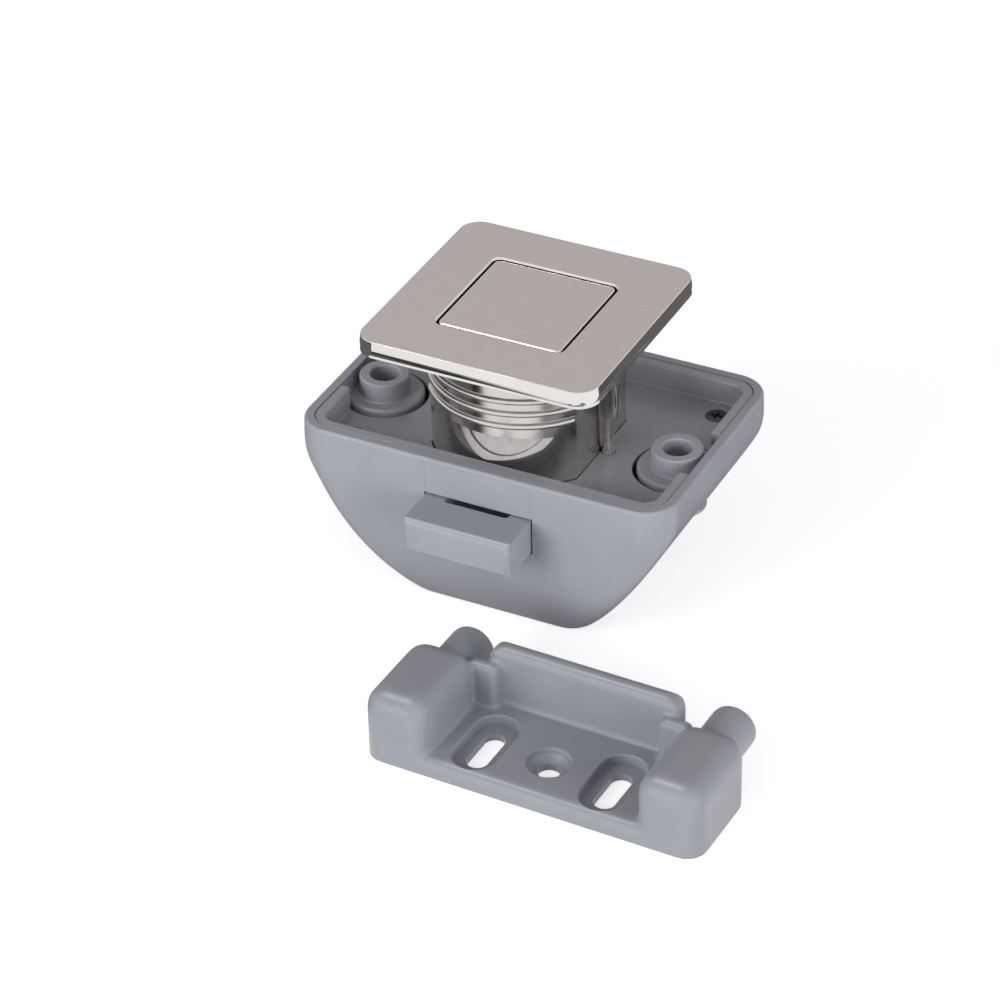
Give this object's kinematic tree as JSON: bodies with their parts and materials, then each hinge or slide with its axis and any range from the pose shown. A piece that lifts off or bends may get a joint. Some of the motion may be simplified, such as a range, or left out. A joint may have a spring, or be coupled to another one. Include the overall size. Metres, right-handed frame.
{
  "type": "push button cabinet lock",
  "caption": "Push button lock for a cabinet door: plastic housing with a sliding bolt, threaded metal barrel, square rosette with a flush button, and a separate strike.",
  "frame": {"origin": "the button's axis, in the plane of the housing's rim, which lies on the inside of the door; it is also the middle of the two door screw bores", "axes": "+Z out through the door to the button, -Y the way the bolt comes out, X along the edge of the door"},
  "size_m": [0.097, 0.0893, 0.0561],
  "materials": {
    "grey_plastic": "satin moulded plastic, blue grey",
    "tray_plastic": "smooth moulded plastic, a little darker",
    "dark_plastic": "dark moulded plastic",
    "pale_plastic": "pale slippery plastic",
    "nickel": "polished nickel plate",
    "brushed_nickel": "brushed nickel, warm grey, with polished edges",
    "steel": "bright zinc-plated steel"
  },
  "bodies": {
    "housing": {"case": "grey_plastic", "tray": "tray_plastic", "tray_screws": "steel", "barrel": "nickel", "barrel_screws": "steel", "alignment_pins": "steel", "rosette": "brushed_nickel", "follower_bracket": "dark_plastic", "bracket_screws": "steel", "follower_spring": "steel", "button_spring": "steel", "spring_seat": "steel", "strike": "grey_plastic"},
    "button": {"button": "brushed_nickel", "plunger": "dark_plastic", "button_pin": "steel", "heart_cam": "pale_plastic"},
    "bolt": {"bolt": "grey_plastic", "drive_pin": "steel"},
    "follower": {"latch_follower": "steel"}
  },
  "joints": [
    {"name": "button_slide", "type": "slide", "parent": "housing", "child": "button", "axis": [0, 0, 1], "range_m": [-0.001, 0.0095], "deforming": ["button_spring"]},
    {"name": "bolt_slide", "type": "slide", "parent": "housing", "child": "bolt", "axis": [0, 1, 0], "range_m": [-0.00092, 0.0087]},
    {"name": "follower_swing", "type": "hinge", "parent": "housing", "child": "follower", "pos_m": [0.006, 0, 0.0005], "axis": [1, 0, 0], "range_deg": [-1.6, 14.2]}
  ],
  "couplings": [
    {"joint": "bolt_slide", "follows": "button_slide", "ratio": 0.91579},
    {"joint": "follower_swing", "follows": "button_slide", "rad_per_m": 25.5}
  ]
}
